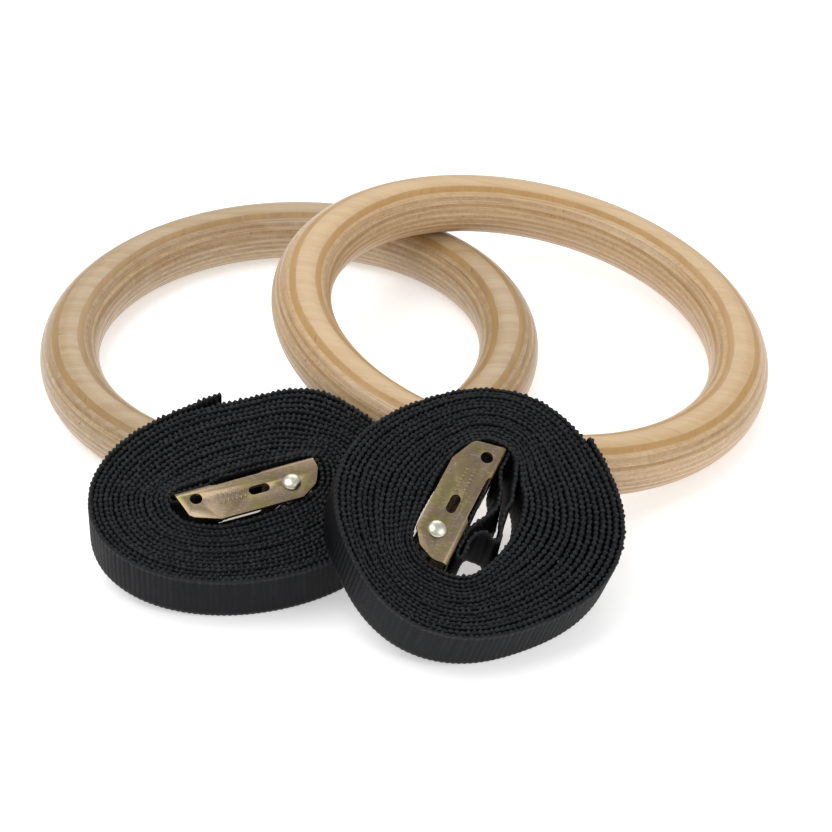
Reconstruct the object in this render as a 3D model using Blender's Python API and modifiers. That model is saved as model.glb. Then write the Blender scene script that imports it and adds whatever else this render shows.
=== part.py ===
"""A pair of plywood gymnastics rings lying on a floor, with their two webbing straps.

One ring lies flat and the other leans on it. Each strap is wound flat around its own cam
buckle and leans on the rings. Lengths are in millimetres here, and MM turns them into the
scene's metres. The whole set hangs from one empty, which is moved at the end so that the
scene's origin lies under the middle of the set, on the floor.
"""

import math

import bmesh
import bpy
from mathutils import Matrix, Vector

MM = 0.001
GAP = 0.3  # air kept between pieces that touch on the real object

# The wooden rings
TUBE_RADIUS = 14.0
RING_INNER_RADIUS = 90.5
RING_RADIUS = RING_INNER_RADIUS + TUBE_RADIUS
RIGHT_RING_TILT = math.radians(10.29)  # it leans on the left ring and on the floor
RIGHT_RING_HEADING = math.radians(-6.98)  # the way it has slid off the left ring
RIGHT_RING_SHIFT = 110.56
FLOOR_GAP = 0.2

# The webbing, and the box of stitches that closes its sewn loop
STRAP_WIDTH = 28.0
STRAP_THICKNESS = 1.8
SEAM_START = 14.5
SEAM_END = 27.5
SEAM_HALF_WIDTH = 11.0
SEAM_STEP = 1.5  # between one round of stitches and the next
THREAD_RADIUS = 0.35
FOLD_SLACK = 0.55  # how far the folded end stands off the layer below it

# The buckle, drawn with its round hole at (0, 0), +X towards the cam pin, +Y towards its base
SHEET = 1.5
INNER_WIDTH = 29.5
CHEEK_TOP = INNER_WIDTH / 2 + SHEET
BASE_Y = 6.2
LEVER_SIDE_Y = -13.1
HOLE_RADIUS = 2.7
SLOT_CENTRE = (27.4, -3.5)
SLOT_LENGTH = 9.4
SLOT_RADIUS = 2.2
PIVOT = (41.8, -4.6)
PIN_RADIUS = 2.5
BORE_RADIUS = PIN_RADIUS + GAP
HEAD_RADIUS = 4.1
HEAD_HEIGHT = 2.2
ANCHOR_BAR = (-8.5, 7.0)  # the ends of the two webs of the base, along X
CAM_WEB = (31.5, 54.4)
WEB_INSET = 0.02  # keeps the webs' faces off the cheeks' own faces where they join

# The cam lever and its torsion spring
LEVER_PLAY = 0.5
HUB_RADIUS = 5.4
CAM_RADIUS = 8.3
CAM_GROWTH = 0.25  # how much nearer the pin each tooth is than the last
TEETH = 7
TOOTH_ANGLE = 9
TOOTH_HEIGHT = 0.9
POCKET_HALF_WIDTH = 4.6
SPRING_WIRE = 1.0
SPRING_RADIUS = 4.0
SPRING_TURNS = 4
SPRING_GAP = 0.35  # between one turn and the next

WOOD = ((0.80, 0.60, 0.36, 1), 0.35, 0.0)
WEBBING = ((0.012, 0.012, 0.014, 1), 0.75, 0.0)
THREAD = ((0.02, 0.02, 0.022, 1), 0.6, 0.0)
BRASSY_ZINC = ((0.62, 0.50, 0.30, 1), 0.3, 1.0)
WHITE_ZINC = ((0.72, 0.73, 0.74, 1), 0.3, 1.0)
SPRING_STEEL = ((0.45, 0.45, 0.47, 1), 0.35, 1.0)


class Strap:
    """Where one wound strap lies, and the ovals that bound its coil."""

    def __init__(self, side, centre, lean, turn, outer, buckle, opening, tail):
        self.side = side
        self.centre = Vector(centre)  # middle of the coil's underside
        self.lean = [math.radians(angle) for angle in lean]
        self.turn = math.radians(turn)
        self.outer = outer  # half length, half width, squareness
        self.buckle_place = Vector(buckle[:2])
        self.buckle_turn = math.radians(buckle[2])
        self.opening = opening  # middle, half length, half width, squareness, buckle frame
        self.tail = tail  # start and end round the coil in degrees, lift of the free end

    def frame(self):
        """The coil's own axes: its normal leans by two angles from straight up."""
        across, along = math.sin(self.lean[0]), math.sin(self.lean[1])
        normal = Vector((across, along, math.sqrt(1 - across**2 - along**2)))
        right = (Vector((1, 0, 0)) - normal * across).normalized()
        back = normal.cross(right)
        axes = Matrix((right, back, normal)).transposed().to_4x4()
        return Matrix.Translation(self.centre * MM) @ axes @ Matrix.Rotation(self.turn, 4, "Z")


STRAPS = (
    Strap("left", (-13.71, -142.26, 16.54), (2.36, -19.97), 12.09, (69.15, 47.53, 2.03),
          (-23.7, -3.9, 7.2), (22.5, -1.0, 36.0, 14.5, 3.2), (92.0, 127.0, 3.6)),
    Strap("right", (81.84, -168.28, 27.61), (10.61, -26.35), 25.86, (61.03, 56.88, 2.36),
          (12.6, 19.4, -141.0), (23.5, 7.0, 36.0, 22.5, 2.8), (-14.0, 14.0, 0.2)),
)
BUCKLE_LIFT = STRAP_WIDTH / 2 + 0.8  # the buckle's mid plane over the coil's underside


def clear_scene():
    for obj in list(bpy.data.objects):
        bpy.data.objects.remove(obj, do_unlink=True)


def new_collection(name):
    collection = bpy.data.collections.new(name)
    bpy.context.scene.collection.children.link(collection)
    return collection


def material(name, look):
    colour, roughness, metallic = look
    made = bpy.data.materials.new(name)
    made.use_nodes = True
    shader = made.node_tree.nodes["Principled BSDF"]
    shader.inputs["Base Color"].default_value = colour
    shader.inputs["Roughness"].default_value = roughness
    shader.inputs["Metallic"].default_value = metallic
    return made


def empty(name, parent, matrix=None):
    made = bpy.data.objects.new(name, None)
    parts.objects.link(made)
    made.parent = parent
    if matrix is not None:
        made.matrix_local = matrix
    return made


def place(obj, parent, look, matrix=None):
    """Puts a finished object under its parent empty and gives it its material."""
    for collection in list(obj.users_collection):
        collection.objects.unlink(obj)
    parts.objects.link(obj)
    obj.parent = parent
    if matrix is not None:
        obj.matrix_local = matrix
    obj.data.materials.clear()
    obj.data.materials.append(look)
    obj.data.shade_smooth()
    obj.data.set_sharp_from_angle(angle=math.radians(32))
    return obj


def mesh_of(curve_obj, name):
    """A mesh object with the curve's shape and place, its caps welded on."""
    graph = bpy.context.evaluated_depsgraph_get()
    data = bpy.data.meshes.new_from_object(curve_obj.evaluated_get(graph))
    where = curve_obj.matrix_world.copy()
    bpy.data.objects.remove(curve_obj, do_unlink=True)
    made = bpy.data.objects.new(name, data)
    made.matrix_world = where
    cage = bmesh.new()
    cage.from_mesh(data)
    bmesh.ops.remove_doubles(cage, verts=cage.verts, dist=1e-6)
    bmesh.ops.recalc_face_normals(cage, faces=cage.faces)
    cage.to_mesh(data)
    cage.free()
    return made


def plate(name, outlines, low, high):
    """A flat plate from z = low to z = high; the first outline is its edge, the rest are holes."""
    data = bpy.data.curves.new(name, "CURVE")
    data.dimensions = "2D"
    data.fill_mode = "BOTH"
    data.extrude = (high - low) / 2 * MM
    for outline in outlines:
        spline = data.splines.new("POLY")
        spline.points.add(len(outline) - 1)
        for point, (x, y) in zip(spline.points, outline):
            point.co = (x * MM, y * MM, 0, 1)
        spline.use_cyclic_u = True
    flat = bpy.data.objects.new(name, data)
    bpy.context.scene.collection.objects.link(flat)
    made = mesh_of(flat, name)
    made.data.transform(Matrix.Translation((0, 0, (low + high) / 2 * MM)))
    return made


def wire(name, points, radius):
    """A round wire through the points, with closed ends."""
    data = bpy.data.curves.new(name, "CURVE")
    data.dimensions = "3D"
    data.bevel_depth = radius * MM
    data.bevel_resolution = 2
    data.use_fill_caps = True
    spline = data.splines.new("POLY")
    spline.points.add(len(points) - 1)
    for point, place_mm in zip(spline.points, points):
        point.co = (*(Vector(place_mm) * MM), 1)
    made = bpy.data.objects.new(name, data)
    bpy.context.scene.collection.objects.link(made)
    return mesh_of(made, name)


def join_by_boolean(obj, other, operation):
    """Applies other to obj as a Boolean, and removes other."""
    for piece in (obj, other):
        if not piece.users_collection:
            cutters.objects.link(piece)
    modifier = obj.modifiers.new(operation.title(), "BOOLEAN")
    modifier.operation = operation
    modifier.solver = "EXACT"
    modifier.object = other
    graph = bpy.context.evaluated_depsgraph_get()
    data = bpy.data.meshes.new_from_object(obj.evaluated_get(graph))
    obj.modifiers.remove(modifier)
    obj.data = data
    bpy.data.objects.remove(other, do_unlink=True)


def circle(x, y, radius, count):
    """Points round a circle."""
    angles = [math.tau * i / count for i in range(count)]
    return [(x + radius * math.cos(a), y + radius * math.sin(a)) for a in angles]


def oval(half_length, half_width, squareness, count, middle=(0, 0)):
    """Points round a superellipse; squareness 2 is an ellipse."""
    points = []
    for i in range(count):
        angle = math.tau * i / count
        x, y = math.cos(angle), math.sin(angle)
        reach = (abs(x / half_length) ** squareness + abs(y / half_width) ** squareness)
        reach **= -1 / squareness
        points.append((middle[0] + reach * x, middle[1] + reach * y))
    return points


def turned(points, angle, shift):
    """The points turned about the origin, then shifted."""
    c, s = math.cos(angle), math.sin(angle)
    return [(shift[0] + c * x - s * y, shift[1] + s * x + c * y) for x, y in points]


def band(middle_line, thickness):
    """The closed outline of a strip of even thickness along an open line of points."""
    sides = ([], [])
    last = len(middle_line) - 1
    for i, point in enumerate(middle_line):
        before = Vector(middle_line[max(i - 1, 0)])
        after = Vector(middle_line[min(i + 1, last)])
        along = (after - before).normalized()
        across = Vector((-along.y, along.x)) * thickness / 2
        if 0 < i < last:
            run = (after - Vector(point)).normalized()
            across /= max(along.dot(run), 0.5)
        for side, sign in zip(sides, (1, -1)):
            side.append(tuple(Vector(point) + sign * across))
    return sides[0] + sides[1][::-1]


def smooth_line(points, steps):
    """A Catmull-Rom curve through the points."""
    ends = [points[0]] + list(points) + [points[-1]]
    line = []
    for p0, p1, p2, p3 in zip(ends, ends[1:], ends[2:], ends[3:]):
        p0, p1, p2, p3 = (Vector(p) for p in (p0, p1, p2, p3))
        for i in range(steps):
            t = i / steps
            line.append(tuple(0.5 * (2 * p1 + (p2 - p0) * t + (2 * p0 - 5 * p1 + 4 * p2 - p3) * t**2
                                     + (3 * p1 - p0 - 3 * p2 + p3) * t**3)))
    line.append(tuple(points[-1]))
    return line


def make_rings(root, wood):
    """The two rings: turned birch plywood, one lying flat and one leaning on it."""
    bpy.ops.mesh.primitive_torus_add(
        major_segments=64, minor_segments=16,
        major_radius=RING_RADIUS * MM, minor_radius=TUBE_RADIUS * MM)
    left = bpy.context.object
    left.name = "left_ring"
    place(left, root, wood, Matrix.Translation((0, 0, (TUBE_RADIUS + FLOOR_GAP) * MM)))

    right = bpy.data.objects.new("right_ring", left.data.copy())
    height = TUBE_RADIUS + FLOOR_GAP + RING_RADIUS * math.sin(RIGHT_RING_TILT)
    heading = Matrix.Rotation(RIGHT_RING_HEADING, 4, "Z")
    shift = heading @ Vector((RIGHT_RING_SHIFT, 0, height))
    lean = heading @ Matrix.Rotation(RIGHT_RING_TILT, 4, "Y")
    place(right, root, wood, Matrix.Translation(shift * MM) @ lean)


def make_coil(strap, axes, webbing):
    """The wound webbing as one plain solid, open in the middle for the buckle."""
    half_length, half_width, squareness = strap.outer
    edge = oval(half_length, half_width, squareness, 72)
    x, y, half_length, half_width, squareness = strap.opening
    hole = oval(half_length, half_width, squareness, 48, (x, y))
    hole = turned(hole, strap.buckle_turn, strap.buckle_place)
    place(plate(f"{strap.side}_strap_coil", (edge, hole), 0, STRAP_WIDTH), axes, webbing)


def make_tail(strap, axes, webbing):
    """The strap's cut end, lying against the coil or lifting off it."""
    first, last, lift = strap.tail
    steps = 8
    rim = []
    for i in range(steps + 1):
        share = i / steps
        angle = math.radians(first + (last - first) * share)
        x, y = math.cos(angle), math.sin(angle)
        half_length, half_width, squareness = strap.outer
        reach = (abs(x / half_length) ** squareness + abs(y / half_width) ** squareness)
        reach = reach ** (-1 / squareness) + GAP + STRAP_THICKNESS / 2
        free_end = 1 - share if strap.side == "left" else share
        reach += lift * free_end**2
        rim.append((reach * x, reach * y))
    outline = band(rim, STRAP_THICKNESS)
    place(plate(f"{strap.side}_strap_tail", (outline,), 0, STRAP_WIDTH), axes, webbing)


def anchor_line(strap):
    """The folded end's line: in from the coil, round the anchor bar and back on itself."""
    inside = BASE_Y - SHEET - GAP - STRAP_THICKNESS / 2
    outside = BASE_Y + GAP + STRAP_THICKNESS / 2
    bend = ANCHOR_BAR[0] - GAP - STRAP_THICKNESS / 2 - 0.5
    stacked = outside + STRAP_THICKNESS + GAP
    away = 0.6 if strap.side == "left" else 9.0
    return [
        (29.0, outside + 0.3), (20.0, outside + 0.2), (13.4, outside), (10.2, (inside + outside) / 2),
        (7.2, inside), (0.0, inside), (ANCHOR_BAR[0] - 0.2, inside),
        (bend, (inside + outside) / 2), (ANCHOR_BAR[0] - 0.2, outside),
        (0.0, outside), (7.0, outside + 0.4), (13.0, stacked), (20.0, stacked + 0.2),
        (29.0, stacked + 0.3), (37.0, stacked + 0.3 + 0.3 * away), (46.0, stacked + away),
    ]


def make_anchor_loop(strap, buckle, webbing, thread):
    """The sewn loop that holds the webbing to the buckle's anchor bar, and its stitching."""
    outline = band(smooth_line(anchor_line(strap), 3), STRAP_THICKNESS)
    loop = plate(f"{strap.side}_strap_loop", (outline,), -STRAP_WIDTH / 2, STRAP_WIDTH / 2)
    place(loop, buckle, webbing)

    face = BASE_Y + 2 * (GAP + STRAP_THICKNESS) + FOLD_SLACK + GAP + THREAD_RADIUS
    start, end, edge = SEAM_START, SEAM_END, SEAM_HALF_WIDTH
    inner = edge - SEAM_STEP
    corners = [(start, edge), (end, edge), (end, -edge), (start, -edge), (start, inner),
               (end - SEAM_STEP, -inner), (end - SEAM_STEP, inner), (start + SEAM_STEP, -inner)]
    stitches = [(x, face, z) for x, z in corners]
    seam = wire(f"{strap.side}_loop_stitching", stitches, THREAD_RADIUS)
    place(seam, buckle, thread)


def cheek_outline():
    """The side plate of the buckle frame, anticlockwise, with its window edge towards the base."""
    window = BASE_Y - SHEET + 0.1
    return [
        (-8.5, BASE_Y), (-5.2, -7.2), (-3.4, -8.8), (7.5, LEVER_SIDE_Y), (44.5, LEVER_SIDE_Y),
        (51.4, -8.4), (52.4, -7.0), (55.0, -1.0), (55.1, 0.6), (54.4, BASE_Y), (32.0, BASE_Y),
        (30.9, window + 0.4), (29.6, window), (10.0, window), (8.4, window + 0.4), (7.2, BASE_Y),
    ]


def make_frame(strap, buckle, zinc):
    """The bent sheet frame: two cheeks joined by the anchor bar and the cam web."""
    slot = []
    reach = SLOT_LENGTH / 2 - SLOT_RADIUS
    for end, first in ((1, -90), (-1, 90)):
        for i in range(7):
            angle = math.radians(first + 30 * i)
            slot.append((SLOT_CENTRE[0] + end * reach + SLOT_RADIUS * math.cos(angle),
                         SLOT_CENTRE[1] + SLOT_RADIUS * math.sin(angle)))
    holes = (circle(0, 0, HOLE_RADIUS, 20), slot, circle(*PIVOT, BORE_RADIUS, 20))
    frame = plate(f"{strap.side}_buckle_frame", (cheek_outline(), *holes), CHEEK_TOP - SHEET, CHEEK_TOP)
    lower = plate("lower_cheek", (cheek_outline(), *holes), -CHEEK_TOP, SHEET - CHEEK_TOP)
    join_by_boolean(frame, lower, "UNION")
    reach = CHEEK_TOP - SHEET / 2
    inner = BASE_Y - SHEET
    for first, last in (ANCHOR_BAR, CAM_WEB):
        near, far = first + WEB_INSET, last - WEB_INSET
        web = [(near, inner), (far, inner), (far, BASE_Y - WEB_INSET), (near, BASE_Y - WEB_INSET)]
        join_by_boolean(frame, plate("web", (web,), -reach, reach), "UNION")
    place(frame, buckle, zinc)


def lever_outline():
    """The cam lever from the side: thumb plate, arm and toothed cam round the pin."""
    px, py = PIVOT
    hub = [(px + HUB_RADIUS * math.cos(math.radians(a)), py + HUB_RADIUS * math.sin(math.radians(a)))
           for a in range(-70, 41, 22)]
    teeth = []
    for i in range(TEETH):
        for share, radius in ((0.0, CAM_RADIUS - TOOTH_HEIGHT), (0.75, CAM_RADIUS)):
            angle = math.radians(58 + TOOTH_ANGLE * (i + share))
            reach = radius - CAM_GROWTH * i
            teeth.append((px + reach * math.cos(angle), py + reach * math.sin(angle)))
    arm = [(px - 6.6, py + 1.2), (34.0, -7.6), (29.5, -10.2), (24.0, -11.4), (11.5, -11.6),
           (8.8, -10.6)]
    thumb = [(7.9, -11.9), (10.8, -13.2), (24.5, -13.2), (31.0, -12.4)]
    return hub + teeth + arm + thumb


def make_lever(strap, pivot, zinc):
    """The spring-loaded cam lever, bored for the pin, with a pocket for the spring."""
    half = INNER_WIDTH / 2 - LEVER_PLAY
    px, py = PIVOT
    outline = [(x - px, y - py) for x, y in lever_outline()]
    bore = circle(0, 0, BORE_RADIUS, 20)
    lever = plate(f"{strap.side}_cam_lever", (outline, bore), -half, half)
    pocket = circle(0, 0, SPRING_RADIUS + SPRING_WIRE / 2 + GAP, 20)
    pocket = [(x, y) for x, y in pocket if x > -2] + [(-13.0, -4.0), (-13.0, 3.6)]
    pocket.sort(key=lambda p: math.atan2(p[1], p[0]))
    cut = plate("pocket", (pocket,), -POCKET_HALF_WIDTH, POCKET_HALF_WIDTH)
    join_by_boolean(lever, cut, "DIFFERENCE")
    place(lever, pivot, zinc)


def make_pin(strap, buckle, steel):
    """The cam pin with a domed head at each end: a profile turned about the pin's axis."""
    seat = CHEEK_TOP + GAP
    profile = [(0.0, seat + HEAD_HEIGHT)]
    profile += [(HEAD_RADIUS * math.sin(math.radians(a)), seat + HEAD_HEIGHT * math.cos(math.radians(a)))
                for a in (22, 45, 66, 84)]
    profile += [(HEAD_RADIUS, seat), (PIN_RADIUS, seat)]
    profile += [(x, -z) for x, z in profile[::-1]]
    data = bpy.data.meshes.new("pin")
    cage = bmesh.new()
    rim = [cage.verts.new((x * MM, 0, z * MM)) for x, z in profile]
    for low, high in zip(rim, rim[1:]):
        cage.edges.new((low, high))
    cage.to_mesh(data)
    cage.free()
    pin = bpy.data.objects.new(f"{strap.side}_cam_pin", data)
    turn = pin.modifiers.new("Turn", "SCREW")
    turn.steps = turn.render_steps = 20
    turn.use_merge_vertices = True
    turn.merge_threshold = 1e-6
    turn.use_smooth_shade = True
    place(pin, buckle, steel, Matrix.Translation((PIVOT[0] * MM, PIVOT[1] * MM, 0)))


def make_spring(strap, buckle, steel):
    """The torsion spring round the pin, with a leg on the cam web's edge and one under the lever."""
    px, py = PIVOT
    steps = 10
    rise = SPRING_TURNS * (SPRING_WIRE + SPRING_GAP)
    first = math.radians(150)
    coil = []
    for i in range(SPRING_TURNS * steps + 1):
        angle = first + math.tau * i / steps
        coil.append((px + SPRING_RADIUS * math.cos(angle), py + SPRING_RADIUS * math.sin(angle),
                     -rise / 2 + rise * i / (SPRING_TURNS * steps)))
    fixed_leg = [(px - 9.8, py + 6.6, -rise / 2), (px - 6.5, py + 3.6, -rise / 2)]
    lever_leg = [(px - 4.6, py - 1.0, rise / 2), (px - 8.6, py - 3.2, rise / 2)]
    points = fixed_leg + coil + lever_leg
    place(wire(f"{strap.side}_cam_spring", points, SPRING_WIRE / 2), buckle, steel)


def make_strap(strap, root, looks):
    axes = empty(f"{strap.side}_strap_axes", root, strap.frame())
    make_coil(strap, axes, looks["webbing"])
    make_tail(strap, axes, looks["webbing"])
    stand = Matrix.Translation((*(strap.buckle_place * MM), BUCKLE_LIFT * MM))
    buckle = empty(f"{strap.side}_buckle_axes", axes, stand @ Matrix.Rotation(strap.buckle_turn, 4, "Z"))
    pivot = empty(f"{strap.side}_cam_axis", buckle, Matrix.Translation((PIVOT[0] * MM, PIVOT[1] * MM, 0)))
    make_anchor_loop(strap, buckle, looks["webbing"], looks["thread"])
    make_frame(strap, buckle, looks["brassy_zinc"])
    make_lever(strap, pivot, looks["white_zinc"])
    make_pin(strap, buckle, looks["white_zinc"])
    make_spring(strap, buckle, looks["spring_steel"])


def centre_on_floor(root):
    """Moves the set so that the origin is under the middle of its box, on the floor."""
    bpy.context.view_layer.update()
    graph = bpy.context.evaluated_depsgraph_get()
    corners = []
    for obj in parts.objects:
        if obj.type == "MESH":
            shown = obj.evaluated_get(graph)
            corners += [shown.matrix_world @ vertex.co for vertex in shown.to_mesh().vertices]
            shown.to_mesh_clear()
    low = Vector([min(corner[axis] for corner in corners) for axis in range(3)])
    high = Vector([max(corner[axis] for corner in corners) for axis in range(3)])
    root.location = (-(low.x + high.x) / 2, -(low.y + high.y) / 2, -low.z)
    bpy.context.view_layer.update()


clear_scene()
parts = new_collection("gymnastics_rings")
cutters = new_collection("cutters")
materials = {
    "wood": material("birch_plywood", WOOD),
    "webbing": material("black_webbing", WEBBING),
    "thread": material("black_thread", THREAD),
    "brassy_zinc": material("yellow_zinc_steel", BRASSY_ZINC),
    "white_zinc": material("white_zinc_steel", WHITE_ZINC),
    "spring_steel": material("spring_steel", SPRING_STEEL),
}
rings_set = empty("rings_set", None)
make_rings(rings_set, materials["wood"])
for each_strap in STRAPS:
    make_strap(each_strap, rings_set, materials)
centre_on_floor(rings_set)
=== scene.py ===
"""Looks for a pair of plywood gymnastics rings with two wound webbing straps.

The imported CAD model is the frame. Each piece is modelled in millimetres in the frame that
suits it (a ring's, a wound strap's or a buckle's), is then turned into the row's metres, and
rides on its CAD body. The strap constants repeat those of the part's source.
"""

import math

import bmesh
import bpy
import numpy as np
from mathutils import Matrix, Vector


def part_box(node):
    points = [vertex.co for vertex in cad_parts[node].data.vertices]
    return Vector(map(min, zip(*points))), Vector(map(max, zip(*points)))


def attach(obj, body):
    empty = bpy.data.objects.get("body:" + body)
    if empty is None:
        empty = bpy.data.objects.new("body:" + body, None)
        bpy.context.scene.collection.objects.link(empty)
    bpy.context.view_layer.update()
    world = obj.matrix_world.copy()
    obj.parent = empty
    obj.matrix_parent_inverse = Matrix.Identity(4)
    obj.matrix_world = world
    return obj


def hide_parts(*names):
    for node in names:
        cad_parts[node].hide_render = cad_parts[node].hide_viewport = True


MM = 0.001

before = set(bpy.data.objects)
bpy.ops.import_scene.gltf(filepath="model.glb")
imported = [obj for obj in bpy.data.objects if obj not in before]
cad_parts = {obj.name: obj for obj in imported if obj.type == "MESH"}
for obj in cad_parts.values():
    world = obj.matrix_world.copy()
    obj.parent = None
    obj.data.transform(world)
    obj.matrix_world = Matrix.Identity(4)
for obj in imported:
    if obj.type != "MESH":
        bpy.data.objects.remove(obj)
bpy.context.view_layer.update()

# The wooden rings
TUBE_RADIUS = 14.0
RING_RADIUS = 104.5
RIGHT_RING_TILT = math.radians(10.29)
RIGHT_RING_HEADING = math.radians(-6.98)
RIGHT_RING_SHIFT = 110.56
FLOOR_GAP = 0.2

# The webbing
STRAP_WIDTH = 28.0
STRAP_THICKNESS = 1.8
RIB = 2.5  # from one cross rib to the next
STEPS_PER_RIB = 5
RIB_HEIGHT = 0.24
KNOB_HEIGHT = 0.62  # how far the edge knobs stand out of the selvedge

# The buckle, drawn with its round hole at (0, 0), +X towards the cam pin, +Y towards its base
GAP = 0.3
SHEET = 1.5
INNER_WIDTH = 29.5
CHEEK_TOP = INNER_WIDTH / 2 + SHEET
BASE_Y = 6.2
LEVER_SIDE_Y = -13.1
HOLE_RADIUS = 2.7
SLOT_CENTRE = (27.4, -3.5)
SLOT_LENGTH = 9.4
SLOT_RADIUS = 2.2
PIVOT = (41.8, -4.6)
PIN_RADIUS = 2.5
HEAD_RADIUS = 4.1
HEAD_HEIGHT = 2.2
CAM_RADIUS = 8.3
TEETH = 7
SPRING_WIRE = 1.0
SPRING_RADIUS = 4.0
SPRING_TURNS = 4

# The camera, in metres and degrees
CAMERA_PLACE = (0.00624, -1.22302, 0.87701)
CAMERA_ELEVATION = 35.212
CAMERA_ROLL = -0.26
CAMERA_LENS = 140.13


class Strap:
    """Where one wound strap lies, and the ovals that bound its coil."""

    def __init__(self, side, centre, lean, turn, outer, buckle, way, turns, end, lift):
        self.side = side
        self.centre = Vector(centre)  # middle of the coil's underside
        self.lean = [math.radians(angle) for angle in lean]
        self.turn = math.radians(turn)
        self.outer = outer  # half length, half width, squareness
        self.buckle_place = Vector(buckle[:2])
        self.buckle_turn = math.radians(buckle[2])
        self.way = way  # 1 winds outward anticlockwise seen from above, -1 clockwise
        self.turns = turns
        self.end = math.radians(end)  # where the cut end is, round the coil
        self.lift = lift  # how far the cut end stands off the coil

    def frame(self):
        """The coil's own axes in the row's metres: its normal leans by two angles from upright."""
        across, along = math.sin(self.lean[0]), math.sin(self.lean[1])
        normal = Vector((across, along, math.sqrt(1 - across**2 - along**2)))
        right = (Vector((1, 0, 0)) - normal * across).normalized()
        back = normal.cross(right)
        axes = Matrix((right, back, normal)).transposed().to_4x4()
        place = Matrix.Translation(set_origin + self.centre * MM)
        return place @ axes @ Matrix.Rotation(self.turn, 4, "Z") @ Matrix.Scale(MM, 4)

    def buckle_frame(self):
        """The buckle's own axes, with z = 0 in its mid plane."""
        stand = Matrix.Translation((*self.buckle_place, STRAP_WIDTH / 2 + 0.8))
        return self.frame() @ stand @ Matrix.Rotation(self.buckle_turn, 4, "Z")


STRAPS = (
    Strap("left", (-13.71, -142.26, 16.54), (2.36, -19.97), 12.09, (69.15, 47.53, 2.03),
          (-23.7, -3.9, 7.2), -1, 15.87, 92.0, 3.6),
    Strap("right", (81.84, -168.28, 27.61), (10.61, -26.35), 25.86, (61.03, 56.88, 2.36),
          (12.6, 19.4, -141.0), 1, 16.02, 14.0, 0.6),
)

# The innermost turn's line in the buckle's frame, in mm. The left one is given point by point. The right
# one starts from points marked by eye on the photo, turned into mm by a scratch script, rounded and then
# moved by hand; so does the right strap's lead.
OPENINGS = {
    "left": ((-9.6, -1.0), (-9.6, 4.4), (-7.4, 7.8), (0.0, 8.9), (12.0, 8.9), (25.0, 9.0),
             (38.0, 9.0), (48.0, 8.8), (54.2, 6.8), (56.3, 1.5), (54.6, -6.0), (50.0, -10.4),
             (43.0, -13.6), (30.0, -14.2), (18.0, -14.4), (7.0, -13.8), (-3.4, -9.6), (-7.2, -6.0)),
    "right": ((-9.6, -1.0), (-9.3, 7.0), (-4.5, 12.3), (3.6, 16.4), (9.5, 20.2), (16.0, 22.0),
              (24.8, 22.7), (31.0, 22.6), (38.0, 21.6), (45.0, 19.6), (50.8, 16.4), (54.6, 10.6),
              (55.5, 2.0), (53.6, -6.2), (46.8, -12.2), (35.0, -13.6), (22.0, -14.3),
              (8.0, -13.7), (-3.4, -9.6), (-7.4, -5.5)),
}
# The strap's way from the anchor bar to the innermost turn, in the buckle's frame
LEADS = {
    "left": ((7.0, 7.8), (13.0, 9.5), (20.0, 9.6), (29.0, 9.7), (37.0, 9.6), (44.0, 9.5)),
    "right": ((6.0, 10.2), (12.0, 12.6), (19.0, 12.8), (25.0, 10.6), (30.0, 8.2), (35.0, 7.25),
              (42.0, 7.2), (45.8, 7.4), (47.4, 8.7), (46.0, 9.9), (41.0, 9.8), (36.6, 9.8),
              (33.0, 11.2), (31.0, 13.4), (31.0, 15.8), (32.6, 18.2), (31.8, 20.4), (28.8, 20.2),
              (23.4, 18.4), (16.0, 17.4), (9.8, 17.2)),
}
# Stretches of the lead that lean: first and last point, counted from the lead's end, and how far
# the strap's lower edge is out beyond its upper one, in mm
LEANS = {"left": (), "right": ((-20, -16, (1.0, 3.5)), (-8, -1, (1.0, 2.6)))}

ring_low, ring_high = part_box("left_ring")
set_origin = (ring_low + ring_high) / 2
set_origin.z = ring_low.z - FLOOR_GAP * MM


# --- shader helpers ---------------------------------------------------------------------------


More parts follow.
